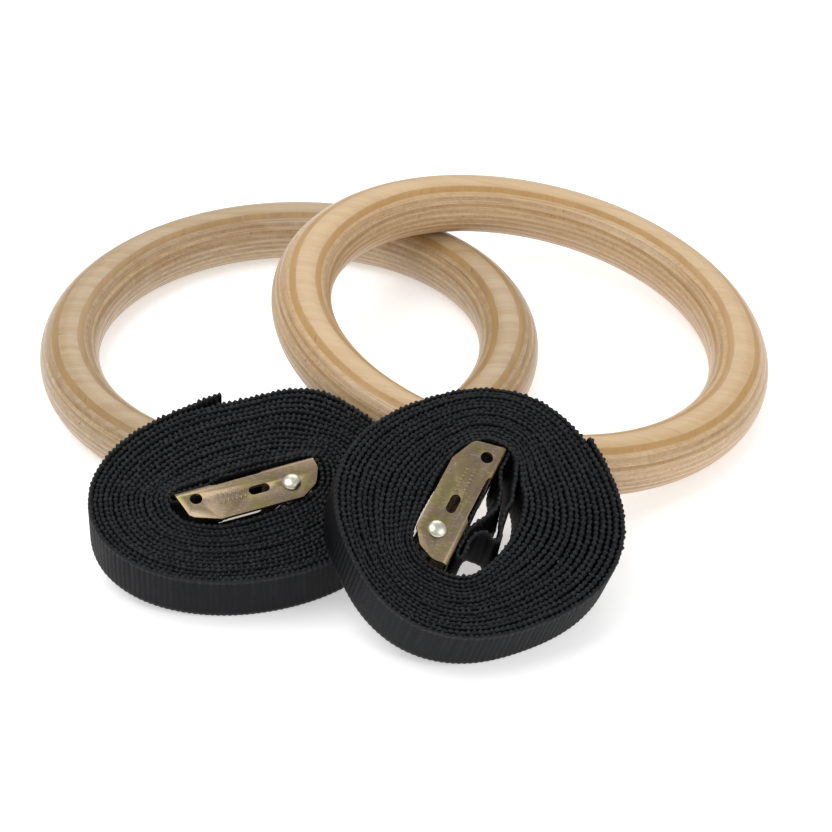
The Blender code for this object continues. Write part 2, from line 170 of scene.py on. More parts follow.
class Graph:
    """A short way to write a material's node tree."""

    def __init__(self, name):
        self.material = bpy.data.materials.new(name)
        self.material.use_nodes = True
        self.tree = self.material.node_tree
        self.shader = self.tree.nodes["Principled BSDF"]

    def node(self, kind, *inputs, **settings):
        """Adds a node; each input is a value or another node's output, in socket order."""
        made = self.tree.nodes.new("ShaderNode" + kind)
        for key, value in settings.items():
            setattr(made, key, value)
        for socket, value in zip(made.inputs, inputs):
            self.feed(socket, value)
        return made

    def feed(self, socket, value):
        if isinstance(value, bpy.types.NodeSocket):
            self.tree.links.new(value, socket)
        elif value is not None:
            socket.default_value = value

    def math(self, operation, a, b=None, c=None):
        return self.node("Math", a, b, c, operation=operation).outputs[0]

    def noise(self, place, scale, detail=2.0, roughness=0.5):
        made = self.node("TexNoise")
        self.feed(made.inputs["Vector"], place)
        self.feed(made.inputs["Scale"], scale)
        self.feed(made.inputs["Detail"], detail)
        self.feed(made.inputs["Roughness"], roughness)
        return made.outputs["Fac"]

    def ramp(self, factor, *stops):
        """A colour ramp; each stop is (position, colour or grey)."""
        made = self.node("ValToRGB")
        self.feed(made.inputs["Fac"], factor)
        elements = made.color_ramp.elements
        while len(elements) < len(stops):
            elements.new(0.5)
        for element, (position, value) in zip(elements, stops):
            element.position = position
            element.color = (*value, 1) if hasattr(value, "__len__") else (value, value, value, 1)
        return made.outputs["Color"]

    def mix(self, factor, a, b, blend="MIX"):
        made = self.node("Mix", data_type="RGBA", blend_type=blend)
        self.feed(made.inputs["Factor"], factor)
        for socket, value in ((made.inputs[6], a), (made.inputs[7], b)):
            colour = hasattr(value, "__len__") and not isinstance(value, bpy.types.NodeSocket)
            self.feed(socket, (*value, 1) if colour else value)
        return made.outputs[2]

    def scaled(self, vector, scale):
        return self.node("VectorMath", vector, scale, operation="MULTIPLY").outputs[0]

    def bump(self, height, distance, strength=1.0, normal=None):
        made = self.node("Bump")
        self.feed(made.inputs["Height"], height)
        self.feed(made.inputs["Distance"], distance)
        self.feed(made.inputs["Strength"], strength)
        if normal is not None:
            self.feed(made.inputs["Normal"], normal)
        return made.outputs["Normal"]

    def set(self, **values):
        """Sets the shader's sockets by name, with underscores for spaces."""
        for key, value in values.items():
            name = " ".join(word if word == "IOR" else word.title() for word in key.split("_"))
            colour = isinstance(value, tuple) and len(value) == 3
            self.feed(self.shader.inputs[name], (*value, 1) if colour else value)


def plywood(name, age):
    """Turned birch plywood: plies stacked along the ring's axis, their grain crossing."""
    g = Graph(name)
    place = g.node("Attribute", attribute_name="ring_place").outputs["Vector"]
    x, y, z = g.node("SeparateXYZ", place).outputs
    sway = g.noise(g.scaled(place, (1.0, 1.0, 0.4)), 0.018, 2.0)
    depth = g.math("SUBTRACT", 13.15, g.math("ADD", z, g.math("MULTIPLY_ADD", sway, 1.1, -0.55)))
    ply = g.math("FLOOR", g.math("DIVIDE", depth, 1.4))
    blur = g.math("MULTIPLY_ADD", g.noise(g.scaled(place, (0.3, 0.3, 0.3)), 1.0, 3.0), 0.5, -0.25)
    depth = g.math("ADD", depth, blur)
    within = g.math("FRACT", g.math("DIVIDE", g.math("ADD", depth, 14.0), 1.4))
    odd = g.math("FLOORED_MODULO", ply, 2.0)  # 1 in the face ply and every second one below it

    # the fibres run along X in the face plies, and along Y in the plies between
    shift = g.node("CombineXYZ", 0.0, 0.0, g.math("MULTIPLY", ply, 7.3)).outputs[0]
    moved = g.node("VectorMath", place, shift, operation="ADD").outputs[0]
    along_x = g.scaled(moved, (0.035, 0.9, 0.55))
    along_y = g.scaled(moved, (0.9, 0.035, 0.55))
    fibre_place = g.node("Mix", data_type="VECTOR")
    g.feed(fibre_place.inputs["Factor"], odd)
    g.feed(fibre_place.inputs[4], along_y)
    g.feed(fibre_place.inputs[5], along_x)
    fibres = g.noise(fibre_place.outputs[1], 1.0, 4.0, 0.6)
    broad = g.noise(fibre_place.outputs[1], 0.22, 2.0, 0.5)

    # round the tube the surface also shows fine lines where it cuts the thin growth layers
    rim = g.noise(g.scaled(place, (0.014, 0.014, 1.5)), 1.0, 4.0, 0.7)

    each = g.node("TexWhiteNoise", noise_dimensions="1D")
    g.feed(each.inputs["W"], g.math("ADD", ply, age))
    tone = each.outputs["Value"]
    pale = g.mix(tone, (0.59, 0.42, 0.235), (0.52, 0.365, 0.215))
    crossed = g.mix(tone, (0.42, 0.265, 0.115), (0.49, 0.34, 0.19))
    colour = g.mix(odd, crossed, pale)
    first = g.ramp(g.math("DIVIDE", depth, 2.0), (0.0, 0.0), (0.14, 1.0), (0.50, 1.0), (0.74, 0.0))
    patchy = g.ramp(broad, (0.38, 1.0), (0.60, 1.0 - 0.75 * age))
    first = g.math("MULTIPLY", first, patchy)
    colour = g.mix(g.math("MULTIPLY", first, 0.82), colour, (0.45, 0.262, 0.078))
    streak = g.ramp(fibres, (0.30, (0.70, 0.60, 0.50)), (0.52, (1.0, 1.0, 1.0)), (0.75, (1.07, 1.06, 1.03)))
    flat = g.math("GREATER_THAN", z, 11.7)
    colour = g.mix(g.math("MULTIPLY_ADD", flat, -0.30, 0.60), colour, streak, "MULTIPLY")
    lines = g.ramp(rim, (0.30, (0.54, 0.41, 0.30)), (0.42, (0.90, 0.86, 0.82)), (0.52, (1.0, 1.0, 1.0)),
                   (0.68, (1.10, 1.09, 1.08)))
    steep = g.ramp(g.math("DIVIDE", depth, 4.0), (0.3, 0.0), (0.6, 0.95))
    colour = g.mix(steep, colour, lines, "MULTIPLY")
    greyed = g.ramp(g.math("DIVIDE", depth, 14.0), (0.12, (1.0, 1.0, 1.0)), (0.75, (1.10, 1.16, 1.32)))
    colour = g.mix(1.0, colour, greyed, "MULTIPLY")
    blotch = g.ramp(broad, (0.42, (1.04, 1.03, 1.0)), (0.62, (0.88, 0.77, 0.60)))
    colour = g.mix(0.35 + 0.3 * age, colour, blotch, "MULTIPLY")
    glue = g.ramp(within, (0.0, 0.0), (0.05, 1.0), (0.94, 1.0), (1.0, 0.0))
    glue_dark = g.mix(glue, (0.74, 0.62, 0.48), (1.0, 1.0, 1.0))
    colour = g.mix(0.6, colour, glue_dark, "MULTIPLY")

    # dark flecks drawn out along the fibres
    spots = g.node("TexVoronoi", feature="F1", voronoi_dimensions="3D")
    g.feed(spots.inputs["Vector"], g.scaled(fibre_place.outputs[1], (0.35, 0.35, 0.35)))
    g.feed(spots.inputs["Scale"], 0.9)
    chance = g.node("SeparateXYZ", spots.outputs["Color"]).outputs[0]
    keep = g.math("GREATER_THAN", chance, 0.93 - 0.12 * age)
    near = g.ramp(spots.outputs["Distance"], (0.05, 1.0), (0.16, 0.0))
    fleck = g.math("MULTIPLY", near, keep)
    colour = g.mix(g.math("MULTIPLY", fleck, 0.7), colour, (0.16, 0.075, 0.03))

    height = g.math("ADD", g.math("MULTIPLY", fibres, 0.6), g.math("MULTIPLY", glue, 0.15))
    weathered = g.mix(age, (0.93, 0.91, 0.87), (0.78, 0.81, 0.84))
    colour = g.mix(1.0, colour, weathered, "MULTIPLY")
    g.set(base_color=colour, roughness=g.math("MULTIPLY_ADD", fibres, 0.16, 0.34),
          normal=g.bump(height, 0.00006, 0.5))
    g.shader.inputs["Coat Weight"].default_value = 0.18
    g.shader.inputs["Coat Roughness"].default_value = 0.25
    return g.material


def webbing_look(name):
    """Black webbing: warp yarns floating over the cross ribs, with a dusty mottle all over; the flat side
    faces carry painted shade, so the knobbed edges stand lighter.
    """
    g = Graph(name)
    u, v, _ = g.node("SeparateXYZ", g.node("UVMap", uv_map="weave").outputs[0]).outputs
    rib = g.math("FLOOR", u)
    yarn = g.math("ADD", g.math("DIVIDE", v, 0.85), g.math("MULTIPLY", rib, 0.5))
    floats = g.math("MULTIPLY_ADD", g.math("COSINE", g.math("MULTIPLY", yarn, math.tau)), 0.5, 0.5)
    strand = g.math("COSINE", g.math("MULTIPLY", g.math("ADD", v, g.math("MULTIPLY", u, 0.9)), 19.0))
    place = g.node("TexCoord").outputs["Object"]
    fuzz = g.noise(place, 2600.0, 2.0)
    dust = g.noise(place, 90.0, 3.0)
    height = g.math("ADD", floats, g.math("MULTIPLY_ADD", fuzz, 0.5, g.math("MULTIPLY", strand, 0.10)))
    tone = g.ramp(g.math("MULTIPLY_ADD", dust, 0.5, g.math("MULTIPLY", floats, 0.5)),
                  (0.25, (0.003, 0.0034, 0.0044)), (0.75, (0.008, 0.0085, 0.0105)))
    # painted shade: between the knobbed edges the flat side faces are darkened to about half, a little
    # bluer
    edge = g.math("GREATER_THAN", g.math("ABSOLUTE", v), STRAP_WIDTH / 2 - 2.2)
    tone = g.mix(edge, g.mix(1.0, tone, (0.5, 0.52, 0.6), "MULTIPLY"), tone)
    g.set(base_color=tone, roughness=g.math("MULTIPLY_ADD", fuzz, 0.3, 0.42),
          normal=g.bump(height, 0.00018, 0.8))
    g.feed(g.shader.inputs["Specular IOR Level"], g.math("MULTIPLY_ADD", edge, 0.16, 0.12))
    return g.material


def thread_look(name):
    """Twisted black sewing thread."""
    g = Graph(name)
    place = g.node("TexCoord").outputs["Object"]
    twist = g.node("TexWave", wave_type="BANDS", bands_direction="DIAGONAL")
    g.feed(twist.inputs["Vector"], place)
    g.feed(twist.inputs["Scale"], 1400.0)
    tone = g.ramp(twist.outputs["Fac"], (0.0, (0.012, 0.012, 0.014)), (1.0, (0.035, 0.035, 0.038)))
    g.set(base_color=tone, roughness=0.55, normal=g.bump(twist.outputs["Fac"], 0.00008, 0.7))
    return g.material


def plated(name, colours, roughness, patch):
    """Zinc plate: the colour drifts between the given ones, and fine scuffs break the shine."""
    g = Graph(name)
    place = g.node("TexCoord").outputs["Object"]
    drift = g.noise(place, patch, 3.0, 0.55)
    fine = g.noise(place, 1500.0, 3.0, 0.6)
    scuffs = g.noise(g.scaled(place, (1.0, 6.0, 1.0)), 420.0, 4.0, 0.7)
    stops = [(0.34 + 0.32 * i / (len(colours) - 1), colour) for i, colour in enumerate(colours)]
    colour = g.ramp(drift, *stops)
    worn = g.ramp(scuffs, (0.56, 0.0), (0.70, 1.0))
    colour = g.mix(g.math("MULTIPLY", worn, 0.35), colour, (0.80, 0.78, 0.72))
    g.set(base_color=colour, metallic=1.0,
          roughness=g.math("MULTIPLY_ADD", fine, 0.22, g.math("MULTIPLY_ADD", worn, 0.10, roughness)),
          normal=g.bump(fine, 0.00002, 0.5))
    return g.material


def floor_look():
    g = Graph("studio_floor")
    speck = g.noise(g.node("TexCoord").outputs["Object"], 40.0, 2.0)
    g.set(base_color=g.ramp(speck, (0.0, 0.80), (1.0, 0.83)), roughness=0.7)
    g.shader.inputs["Specular IOR Level"].default_value = 0.0
    g.shader.inputs["Emission Color"].default_value = (1, 1, 1, 1)
    g.shader.inputs["Emission Strength"].default_value = 0.46
    return g.material


# --- mesh helpers -----------------------------------------------------------------------------


def new_object(name, data):
    made = bpy.data.objects.new(name, data)
    bpy.context.scene.collection.objects.link(made)
    return made


def finish_piece(obj, matrix, look, body, slot, *nodes):
    """Turns the piece into the row's metres, gives it its look, and ties it to the CAD."""
    obj.data.transform(matrix)
    obj.data.materials.clear()
    obj.data.materials.append(look)
    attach(obj, body)
    if nodes:
        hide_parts(*nodes)
    return obj


def soft_edges(obj, width, segments, sharp=32):
    """Rounds the sharp edges by a small bevel, applied, and shades the piece smooth."""
    bevel = obj.modifiers.new("Edges", "BEVEL")
    bevel.width = width
    bevel.segments = segments
    bevel.limit_method = "ANGLE"
    bevel.angle_limit = math.radians(sharp)
    bevel.harden_normals = False
    apply_all(obj)
    obj.data.shade_smooth()
    obj.data.set_sharp_from_angle(angle=math.radians(40))


def apply_all(obj):
    graph = bpy.context.evaluated_depsgraph_get()
    data = bpy.data.meshes.new_from_object(obj.evaluated_get(graph))
    obj.modifiers.clear()
    obj.data = data


def plate(name, outlines, low, high):
    """A flat plate from z = low to z = high; the first outline is its edge, the rest are holes."""
    data = bpy.data.curves.new(name, "CURVE")
    data.dimensions = "2D"
    data.fill_mode = "BOTH"
    data.extrude = (high - low) / 2
    for outline in outlines:
        spline = data.splines.new("POLY")
        spline.points.add(len(outline) - 1)
        for point, (x, y) in zip(spline.points, outline):
            point.co = (x, y, 0, 1)
        spline.use_cyclic_u = True
    flat = new_object(name + "_outline", data)
    made = mesh_of(flat, name)
    made.data.transform(Matrix.Translation((0, 0, (low + high) / 2)))
    return made


def mesh_of(curve_obj, name):
    """A closed mesh object with the curve's shape, its caps welded on."""
    graph = bpy.context.evaluated_depsgraph_get()
    data = bpy.data.meshes.new_from_object(curve_obj.evaluated_get(graph))
    bpy.data.objects.remove(curve_obj, do_unlink=True)
    made = new_object(name, data)
    cage = bmesh.new()
    cage.from_mesh(data)
    bmesh.ops.remove_doubles(cage, verts=cage.verts, dist=1e-3)
    bmesh.ops.recalc_face_normals(cage, faces=cage.faces)
    cage.to_mesh(data)
    cage.free()
    return made


def wire(name, points, radius, resolution=3):
    """A round wire through the points, with closed ends."""
    data = bpy.data.curves.new(name, "CURVE")
    data.dimensions = "3D"
    data.bevel_depth = radius
    data.bevel_resolution = resolution
    data.use_fill_caps = True
    spline = data.splines.new("POLY")
    spline.points.add(len(points) - 1)
    for point, place in zip(spline.points, points):
        point.co = (*place, 1)
    return mesh_of(new_object(name + "_line", data), name)


def cut_or_join(obj, other, operation):
    """Applies other to obj as a Boolean, and removes other."""
    modifier = obj.modifiers.new(operation.title(), "BOOLEAN")
    modifier.operation = operation
    modifier.solver = "EXACT"
    modifier.object = other
    apply_all(obj)
    bpy.data.objects.remove(other, do_unlink=True)


def circle(x, y, radius, count=40):
    angles = [math.tau * i / count for i in range(count)]
    return [(x + radius * math.cos(a), y + radius * math.sin(a)) for a in angles]


def rounded(points, radius, steps=5):
    """The closed outline with each corner turned into an arc-like curve."""
    out = []
    count = len(points)
    for i, point in enumerate(points):
        corner = Vector(point)
        before = Vector(points[i - 1]) - corner
        after = Vector(points[(i + 1) % count]) - corner
        reach = min(radius, before.length * 0.45, after.length * 0.45)
        start = corner + before.normalized() * reach
        end = corner + after.normalized() * reach
        for k in range(steps + 1):
            t = k / steps
            out.append(tuple(start * (1 - t) ** 2 + corner * 2 * t * (1 - t) + end * t**2))
    return out


def smooth_line(points, steps):
    """A Catmull-Rom curve through the points, as an array."""
    ends = np.array([points[0], *points, points[-1]], float)
    t = (np.arange(steps) / steps)[:, None]
    runs = []
    for p0, p1, p2, p3 in zip(ends, ends[1:], ends[2:], ends[3:]):
        runs.append(0.5 * (2 * p1 + (p2 - p0) * t + (2 * p0 - 5 * p1 + 4 * p2 - p3) * t**2
                           + (3 * p1 - p0 - 3 * p2 + p3) * t**3))
    return np.vstack([*runs, ends[-1:]])


def oval_reach(angle, half_length, half_width, squareness):
    """A superellipse's radius at each angle."""
    reach = abs(np.cos(angle) / half_length) ** squareness
    reach = reach + abs(np.sin(angle) / half_width) ** squareness
    return reach ** (-1 / squareness)


# --- the rings --------------------------------------------------------------------------------


def make_ring(side, matrix, look):
    """A ring turned from plywood, with its own coordinates kept for the wood's figure."""
    around, about = 360, 72
    a = (math.tau * np.arange(around) / around)[:, None]
    b = (math.tau * np.arange(about) / about)[None, :]
    reach = RING_RADIUS + TUBE_RADIUS * np.cos(b)
    spots = np.stack([reach * np.cos(a), reach * np.sin(a),
                      TUBE_RADIUS * np.sin(b) * np.ones_like(a)], axis=-1).reshape(-1, 3)
    i, j = np.meshgrid(np.arange(around), np.arange(about), indexing="ij")
    i2, j2 = (i + 1) % around, (j + 1) % about
    quads = np.stack([i * about + j, i2 * about + j, i2 * about + j2, i * about + j2], -1)
    ring = grid_mesh(f"{side}_plywood_ring", spots, quads.reshape(-1, 4))
    kept = ring.data.attributes.new("ring_place", "FLOAT_VECTOR", "POINT")
    kept.data.foreach_set("vector", spots.astype(np.float32).ravel())
    ring.data.shade_smooth()
    body = f"{side}_ring"
    finish_piece(ring, matrix, look, body, "birch_plywood", body)


def grid_mesh(name, spots, quads, caps=()):
    """A mesh object from arrays of points and four-sided faces, and lists for end caps."""
    data = bpy.data.meshes.new(name)
    loops = np.concatenate([quads.ravel(), *[np.array(cap) for cap in caps]]).astype(np.int32)
    sizes = np.array([4] * len(quads) + [len(cap) for cap in caps])
    data.vertices.add(len(spots))
    data.vertices.foreach_set("co", np.asarray(spots, np.float32).ravel())
    data.loops.add(len(loops))
    data.loops.foreach_set("vertex_index", loops)
    data.polygons.add(len(sizes))
    data.polygons.foreach_set("loop_start", np.concatenate([[0], np.cumsum(sizes)[:-1]]).astype(np.int32))
    data.update(calc_edges=True)
    data.validate()
    return new_object(name, data)


def make_rings():
    lift = Vector((0, 0, TUBE_RADIUS + FLOOR_GAP))
    place = Matrix.Translation(set_origin) @ Matrix.Scale(MM, 4)
    make_ring("left", place @ Matrix.Translation(lift), plywood("older_birch_plywood", 1.0))
    heading = Matrix.Rotation(RIGHT_RING_HEADING, 4, "Z")
    rise = lift.z + RING_RADIUS * math.sin(RIGHT_RING_TILT)
    shift = heading @ Vector((RIGHT_RING_SHIFT, 0, rise))
    lean = heading @ Matrix.Rotation(RIGHT_RING_TILT, 4, "Y")
    make_ring("right", place @ Matrix.Translation(shift) @ lean, plywood("pale_birch_plywood", 0.0))


# --- the webbing ------------------------------------------------------------------------------


def anchor_route(strap):
    """The sewn loop's line in the buckle's frame: cut end, window, anchor bar, and its lead."""
    inside = BASE_Y - SHEET - GAP - STRAP_THICKNESS / 2
    outside = BASE_Y + GAP + STRAP_THICKNESS / 2
    bend = -8.5 - GAP - STRAP_THICKNESS / 2 - 0.5
    return [
        (31.0, 5.6), (24.0, 5.5), (16.0, 5.3), (11.5, 4.6), (7.2, inside), (0.0, inside), (-8.7, inside),
        (bend, (inside + outside) / 2), (-8.7, outside), (0.0, outside), *LEADS[strap.side],
    ]


def coil_route(strap):
    """The wound part's middle line in the coil's frame from the inside out, with its pitch."""
    per_turn = 180
    u = np.arange(0, strap.turns, 1 / per_turn)
    angle = strap.end - strap.way * math.tau * (strap.turns - u)
    turn = np.array(Matrix.Rotation(strap.buckle_turn, 2))
    rim = smooth_line([*OPENINGS[strap.side], OPENINGS[strap.side][0]], 10)[:-1] @ turn.T
    rim = rim + np.array(strap.buckle_place)
    middle = rim.mean(axis=0)
    bearing = np.arctan2(rim[:, 1] - middle[1], rim[:, 0] - middle[0])
    reach = np.linalg.norm(rim - middle, axis=1)
    order = np.argsort(bearing)
    reach = np.interp(angle, bearing[order], reach[order], period=math.tau)
    inner = np.column_stack([middle[0] + reach * np.cos(angle), middle[1] + reach * np.sin(angle)])
    reach = oval_reach(angle, *strap.outer)
    if strap.side == "left":  # the left coil bulges away from the camera beside its cut end
        away = np.angle(np.exp(1j * (angle - math.radians(50))))
        reach = reach + 7.0 * np.exp(-((away / math.radians(22)) ** 2))
    outer = np.column_stack([reach * np.cos(angle), reach * np.sin(angle)])
    room = np.linalg.norm(outer - inner, axis=-1)
    pitch = room / strap.turns
    sway = np.sin(angle * 1.37) + 0.8 * np.sin(angle * 3.61 + 1.0) + 0.7 * np.sin(angle * 6.83 + 2.0)
    slack = 0.09 * sway * np.clip(strap.turns - u, 0, 1) * np.clip(u, 0, 1)
    depth = STRAP_THICKNESS / 2 + (room - STRAP_THICKNESS + pitch / 2) * u / strap.turns + slack
    tail = np.clip(1 - (strap.turns - u) / 0.1, 0, 1)
    depth = depth + strap.lift * tail**2
    spots = inner + (outer - inner) * (depth / room)[:, None]
    rise = (STRAP_WIDTH / 2 + 0.25 * np.sin(angle * 0.61) + 0.2 * np.sin(angle * 1.73 + 1)
            + 2.4 * np.exp(-u / 1.2))
    return np.column_stack([spots, rise, pitch, 0 * u, 0 * u])


def strap_route(strap):
    """The whole strap's middle line in the coil's frame, with the room it has across."""
    turn = np.array(Matrix.Rotation(strap.buckle_turn, 2))
    loop = np.array(anchor_route(strap)) @ turn.T + np.array(strap.buckle_place)
    splay = np.zeros((len(loop), 2))
    for first, last, lean in LEANS[strap.side]:
        splay[first:last] = lean
    loop = np.column_stack([loop, np.full(len(loop), STRAP_WIDTH / 2 + 0.8),
                            np.full(len(loop), STRAP_THICKNESS), splay @ turn.T])
    wound = coil_route(strap)
    joint = np.vstack([loop, wound[12:60:12]])
    return np.vstack([smooth_line(joint, 12)[:-1], wound[48:]])


def evenly(route, step):
    """The line's points an even step apart, and how far along each one is."""
    runs = np.linalg.norm(np.diff(route[:, :3], axis=0), axis=1)
    along = np.concatenate([[0], np.cumsum(runs)])
    count = int(along[-1] / step)
    wanted = np.arange(count + 1) * step
    return np.column_stack([np.interp(wanted, along, column) for column in route.T]), wanted


def webbing(name, route):
    """A ribbed strip with knobby edges along a middle line, standing on its edge."""
    line, along = evenly(route, RIB / STEPS_PER_RIB)
    room = np.clip(line[:, 3], 1.7, 2.4)
    splay = np.column_stack([line[:, 4:], 0 * room])
    line = line[:, :3]
    forward = np.gradient(line, axis=0)
    for _ in range(3):
        forward[1:-1] = (forward[:-2] + 2 * forward[1:-1] + forward[2:]) / 4
    forward /= np.linalg.norm(forward, axis=1)[:, None]
    up = np.tile([0.0, 0.0, 1.0], (len(line), 1))
    across = np.cross(up, forward)
    across /= np.linalg.norm(across, axis=1)[:, None]

    random = np.random.default_rng(len(name))
    ribs = (along / RIB).astype(int)
    several = ribs.max() + 1
    crest = (0.5 - 0.5 * np.cos(math.tau * along / RIB)) ** 0.7
    tall = random.uniform(-0.40, 0.40, several)[ribs] * crest
    aside = random.uniform(-0.42, 0.42, several)[ribs] * crest
    wide = room / 2 * random.uniform(0.90, 1.16, several)[ribs]
    half = STRAP_WIDTH / 2
    face = np.clip(0.53 * room, STRAP_THICKNESS / 2, 1.25) - RIB_HEIGHT * (1 - crest)
    tip = half - KNOB_HEIGHT * (1 - crest)
    knob = 0.45 + (wide - 0.45) * crest
    low = -half + 0.25 * (1 - crest)
    profile = [(-0.7 * face, low), (-face, low + 1.2), (-face, tip - 1.5)]
    profile += [(aside - knob, tip - 0.66 + tall), (aside - 0.72 * knob, tip - 0.1 + tall)]
    profile += [(aside + 0.72 * knob, tip - 0.1 + tall), (aside + knob, tip - 0.66 + tall)]
    profile += [(face, tip - 1.5), (face, low + 1.2), (0.7 * face, low)]
    sides = len(profile)
    spots = np.stack([line + across * side[:, None] + up * high[:, None]
                      + splay * (0.5 - high / STRAP_WIDTH)[:, None] for side, high in profile], 1)
    stations = len(line)
    i, j = np.meshgrid(np.arange(stations - 1), np.arange(sides), indexing="ij")
    j2 = (j + 1) % sides
    quads = np.stack([i * sides + j, i * sides + j2, (i + 1) * sides + j2, (i + 1) * sides + j], -1)
    quads = quads.reshape(-1, 4)
    first = list(range(sides))[::-1]
    last = [(stations - 1) * sides + j for j in range(sides)]
    strip = grid_mesh(name, spots.reshape(-1, 3), quads, [first, last])
    heights = np.stack([high for _, high in profile], 1).ravel()
    weave = strip.data.uv_layers.new(name="weave")
    corners = np.empty(len(strip.data.loops), np.int32)
    strip.data.loops.foreach_get("vertex_index", corners)
    uv = np.column_stack([np.repeat(along / RIB, sides)[corners], heights[corners]])
    weave.data.foreach_set("uv", uv.astype(np.float32).ravel())
    strip.data.shade_smooth()
    return strip, float(along[-1])


# --- the buckle -------------------------------------------------------------------------------


def cheek_outline():
    """The buckle's side outline, anticlockwise, with the window's edge towards the base."""
    window = BASE_Y - SHEET - 0.4
    return [
        (-8.5, BASE_Y), (-5.2, -7.2), (-3.4, -8.8), (7.5, LEVER_SIDE_Y), (44.5, LEVER_SIDE_Y),
        (51.4, -8.4), (52.4, -7.0), (55.0, -1.0), (55.1, 0.6), (54.4, BASE_Y), (32.0, BASE_Y),
        (30.9, window + 0.4), (29.6, window), (10.0, window), (8.4, window + 0.4), (7.2, BASE_Y),
    ]


def slot_outline():
    reach = SLOT_LENGTH / 2 - SLOT_RADIUS
    points = []
    for end, first in ((1, -90), (-1, 90)):
        for i in range(13):
            angle = math.radians(first + 15 * i)
            points.append((SLOT_CENTRE[0] + end * reach + SLOT_RADIUS * math.cos(angle),
                           SLOT_CENTRE[1] + SLOT_RADIUS * math.sin(angle)))
    return points


def make_frame(strap, look):
    """The frame, bent from one sheet: a channel cut to the cheeks' outline, with its window."""
    bend = 2.4
    outer, inner = [], []
    for points, reach, depth, radius in ((outer, CHEEK_TOP, BASE_Y, bend),
                                         (inner, CHEEK_TOP - SHEET, BASE_Y - SHEET, bend - SHEET)):
        for side in (-1, 1):
            for k in range(7):
                angle = math.radians(15 * k if side > 0 else 90 - 15 * k)
                points.append((side * (reach - radius + radius * math.cos(angle)),
                               depth - radius + radius * math.sin(angle)))
    low = LEVER_SIDE_Y - 5
    channel = [(-CHEEK_TOP, low), *outer[:7][::-1], *outer[7:][::-1], (CHEEK_TOP, low),
               (CHEEK_TOP - SHEET, low), *inner[7:], *inner[:7], (SHEET - CHEEK_TOP, low)]
    frame_obj = plate(f"{strap.side}_sheet_frame", (channel,), -15.0, 62.0)
    # the channel is drawn in (z, y) and pushed out along x
    frame_obj.data.transform(Matrix(((0, 0, 1, 0), (0, 1, 0, 0), (-1, 0, 0, 0), (0, 0, 0, 1))))
    reach = CHEEK_TOP + 3
    cheeks = plate("outline", (rounded(cheek_outline(), 0.35, 3),), -reach, reach)
    cut_or_join(frame_obj, cheeks, "INTERSECT")
    window = rounded([(7.6, 0.0), (31.4, 0.0), (31.4, 9.0), (7.6, 9.0)], 0.6)
    half = INNER_WIDTH / 2 - 0.6
    cut_or_join(frame_obj, plate("window", (window,), -half, half), "DIFFERENCE")
    for hole in (circle(0, 0, HOLE_RADIUS), slot_outline(), circle(*PIVOT, PIN_RADIUS + 0.05)):
        cut_or_join(frame_obj, plate("hole", (hole,), -reach, reach), "DIFFERENCE")
    soft_edges(frame_obj, 0.32, 2)
    finish_piece(frame_obj, strap.buckle_frame(), look, f"{strap.side}_strap", "yellow_zinc_steel",
                 f"{strap.side}_buckle_frame")
    make_marks(strap, look)


def make_marks(strap, look):
    """Two rows of plain pips pressed up from the cheek, where such buckles carry their stamp."""
    cage = bmesh.new()
    for row in range(2):
        for column in range(7):
            x, y = 9.4 + 1.9 * column, -1.5 - 3.4 * row
            made = bmesh.ops.create_uvsphere(cage, u_segments=12, v_segments=6, radius=0.62)
            for vertex in made["verts"]:
                vertex.co = (x + vertex.co.x * 0.8, y + vertex.co.y * 1.7, CHEEK_TOP + vertex.co.z * 0.42)
    data = bpy.data.meshes.new("pips")
    cage.to_mesh(data)
    cage.free()
    pips = new_object(f"{strap.side}_pressed_pips", data)
    pips.data.shade_smooth()
    finish_piece(pips, strap.buckle_frame(), look, f"{strap.side}_strap", "yellow_zinc_steel")


def lever_outline():
    """The cam lever from the side: thumb plate, arm and toothed cam round the pin."""
    px, py = PIVOT
    hub = [(px + 5.4 * math.cos(math.radians(a)), py + 5.4 * math.sin(math.radians(a)))
           for a in range(-70, 41, 11)]
    teeth = []
    for i in range(TEETH):
        for share, radius in ((0.0, CAM_RADIUS - 0.9), (0.75, CAM_RADIUS)):
            angle = math.radians(58 + 9 * (i + share))
            reach = radius - 0.25 * i
            teeth.append((px + reach * math.cos(angle), py + reach * math.sin(angle)))
    arm = rounded([(px - 6.6, py + 1.2), (34.0, -7.6), (29.5, -10.2), (24.0, -11.4), (11.5, -11.6),
                   (8.8, -11.4), (7.9, -12.8), (10.8, -13.9), (24.5, -13.9), (31.0, -12.8)], 1.2, 3)
    return hub + teeth + arm


def make_lever(strap, look):
    """The cam lever, bored for the pin, with a pocket for its spring."""
    half = INNER_WIDTH / 2 - 0.5
    px, py = PIVOT
    lever = plate(f"{strap.side}_toothed_lever", (lever_outline(), circle(px, py, PIN_RADIUS + 0.3)),
                  -half, half)
    pocket = [(px - 13.0, py - 4.0), *[(px + 4.8 * math.cos(math.radians(a)),
              py + 4.8 * math.sin(math.radians(a))) for a in range(-110, 111, 20)], (px - 13.0, py + 3.6)]
    cut_or_join(lever, plate("pocket", (pocket,), -4.6, 4.6), "DIFFERENCE")
    soft_edges(lever, 0.2, 2)
    finish_piece(lever, strap.buckle_frame(), look, f"{strap.side}_lever", "white_zinc_steel",
                 f"{strap.side}_cam_lever")


